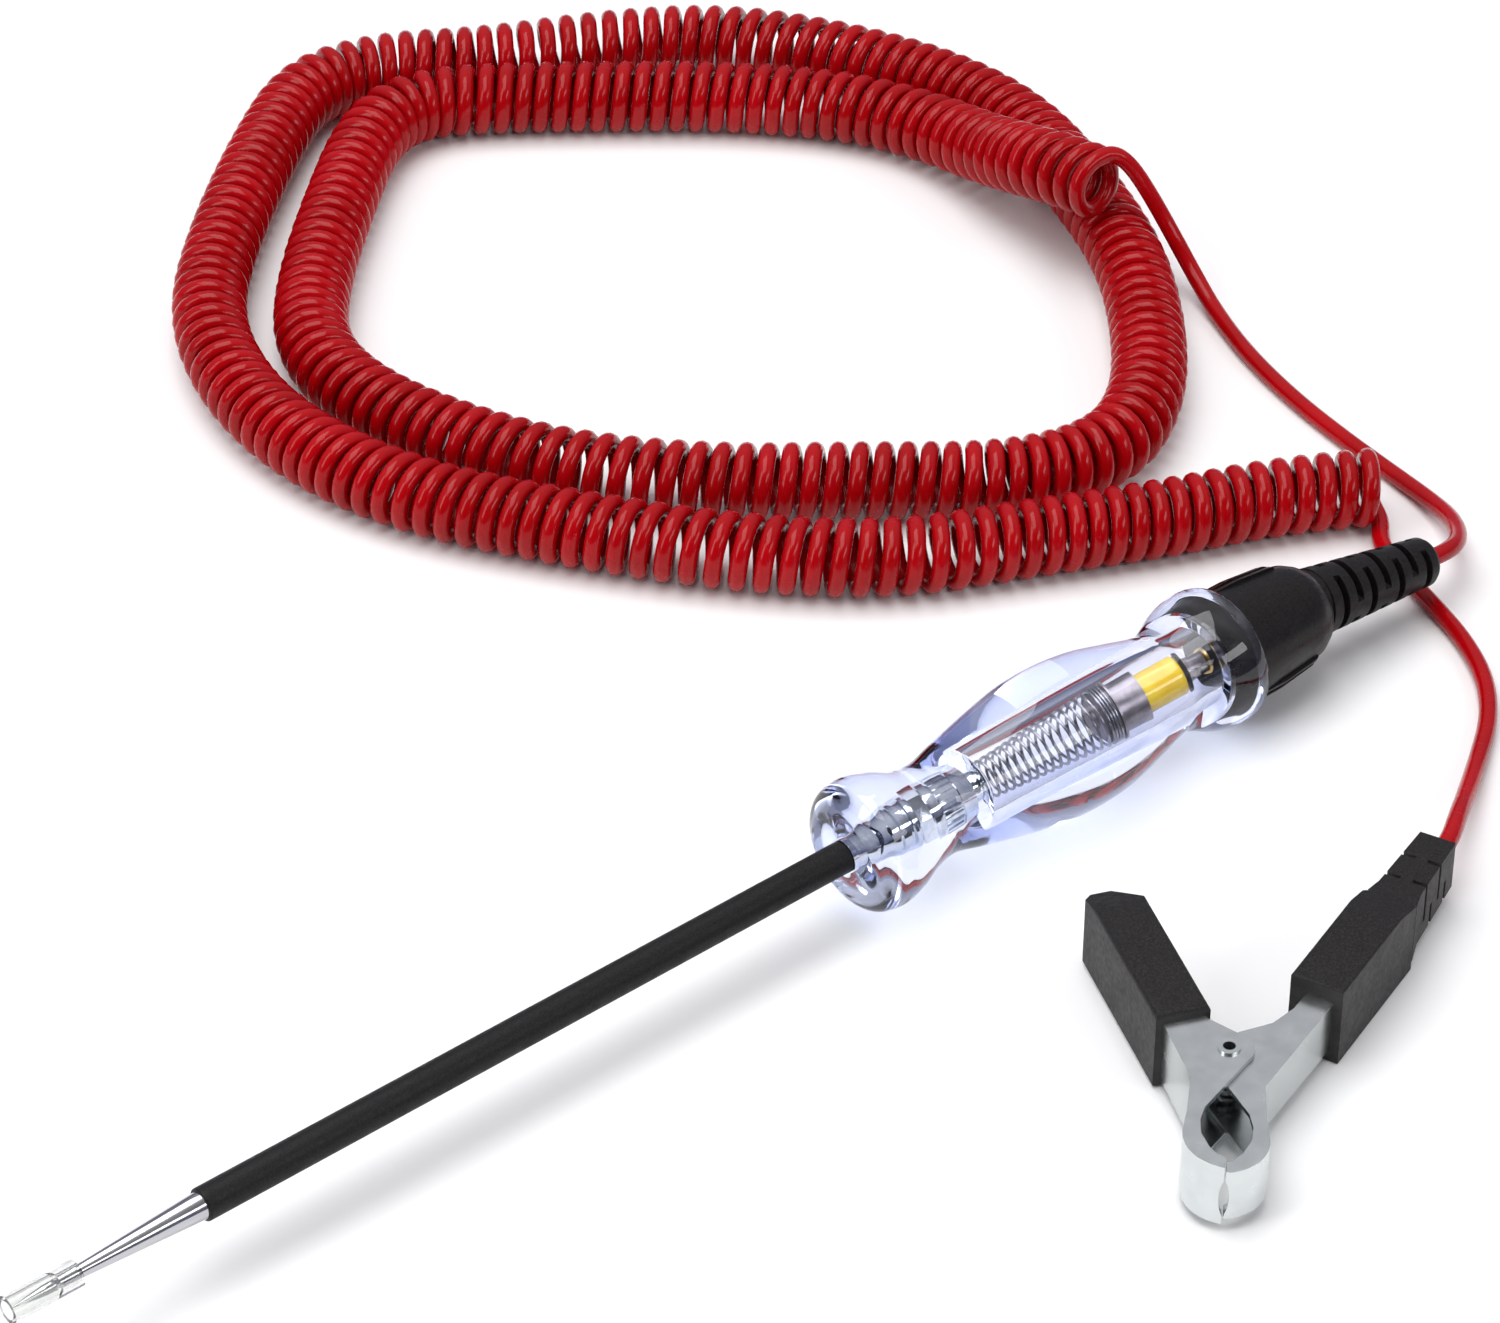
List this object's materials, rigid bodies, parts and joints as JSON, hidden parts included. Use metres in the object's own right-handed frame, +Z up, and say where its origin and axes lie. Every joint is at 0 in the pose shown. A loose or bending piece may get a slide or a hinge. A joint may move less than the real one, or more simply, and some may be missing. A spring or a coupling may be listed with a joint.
{
  "type": "circuit test light",
  "caption": "Circuit tester with a clear handle, lamp and spring inside, insulated needle probe, curly lead and spring clip.",
  "frame": {"origin": "on the floor under the middle of the tester's length, below the axis of its handle", "axes": "+X along the probe from its point towards the lead, +Z up, tester lying on the belly of its handle"},
  "size_m": [0.4077, 0.416, 0.0331],
  "materials": {
    "clear_plastic": "clear, faint violet tint",
    "clear_sleeve": "clear, slightly milky",
    "plated_insert": "bright plated",
    "probe_steel": "polished, fine lengthwise marks",
    "black_sleeve": "matt, shrunk tubing",
    "spring_wire": "drawn wire",
    "lamp_shell": "dull plated",
    "solder": "dull",
    "yellow_glass": "coloured glass",
    "black_insulator": "matt",
    "black_plastic": "semi-gloss moulding",
    "brass": "plain",
    "black_rubber": "semi-matt",
    "red_lead": "glossy soft vinyl",
    "zinc_steel": "zinc plated sheet",
    "grip_rubber": "fine-grained vinyl"
  },
  "bodies": {
    "handle": {"handle_shell": "clear_plastic", "probe_insert": "plated_insert", "probe_shaft": "probe_steel", "probe_sleeve": "black_sleeve", "contact_spring": "spring_wire"},
    "tip_cover": {"tip_cover": "clear_sleeve"},
    "lamp": {"lamp_base": "lamp_shell", "lamp_base_contact": "solder", "lamp_glass": "yellow_glass", "lamp_mount": "solder", "lamp_ring": "black_insulator", "lamp_end_cap": "lamp_shell"},
    "lead_end": {"rear_contact": "brass", "contact_holder": "black_insulator", "lead_terminal": "brass", "lead_tail": "red_lead", "strain_relief": "black_rubber", "cord_lead_handle": "red_lead", "cord_coil": "red_lead", "cord_lead_clip": "red_lead", "clip_jaw_right": "zinc_steel", "clip_grip_right": "grip_rubber", "clip_strain_relief": "grip_rubber", "clip_lead_tail": "red_lead", "clip_rivet": "zinc_steel", "clip_wire_crimp": "brass", "clip_spring": "spring_wire"},
    "end_cap": {"end_cap": "black_plastic"},
    "clip_jaw": {"clip_jaw_left": "zinc_steel", "clip_grip_left": "grip_rubber"}
  },
  "joints": [
    {"name": "tip_cover_pull", "type": "slide", "parent": "handle", "child": "tip_cover", "axis": [-1, 0, 0], "range_m": [0, 0.015]},
    {"name": "cap_travel", "type": "slide", "parent": "handle", "child": "lead_end", "axis": [1, 0, 0], "range_m": [0, 0.0045]},
    {"name": "lamp_travel", "type": "slide", "parent": "handle", "child": "lamp", "axis": [1, 0, 0], "range_m": [0, 0.0045], "deforming": ["contact_spring"]},
    {"name": "cap_spin", "type": "hinge", "parent": "lead_end", "child": "end_cap", "pos_m": [0.125, 0, 0.0149], "axis": [1, 0, 0], "range_deg": [0, 1080.5]},
    {"name": "clip_open", "type": "hinge", "parent": "lead_end", "child": "clip_jaw", "pos_m": [0.0315, -0.085, 0.0085], "axis": [0, 0, -1], "range_deg": [0, 30], "stiffness_Nm_per_rad": 0.25, "springref_deg": -57.3, "deforming": ["clip_spring"]}
  ],
  "couplings": [
    {"joint": "lamp_travel", "follows": "cap_travel", "ratio": 1},
    {"joint": "cap_spin", "follows": "cap_travel", "rad_per_m": 4188.8}
  ]
}
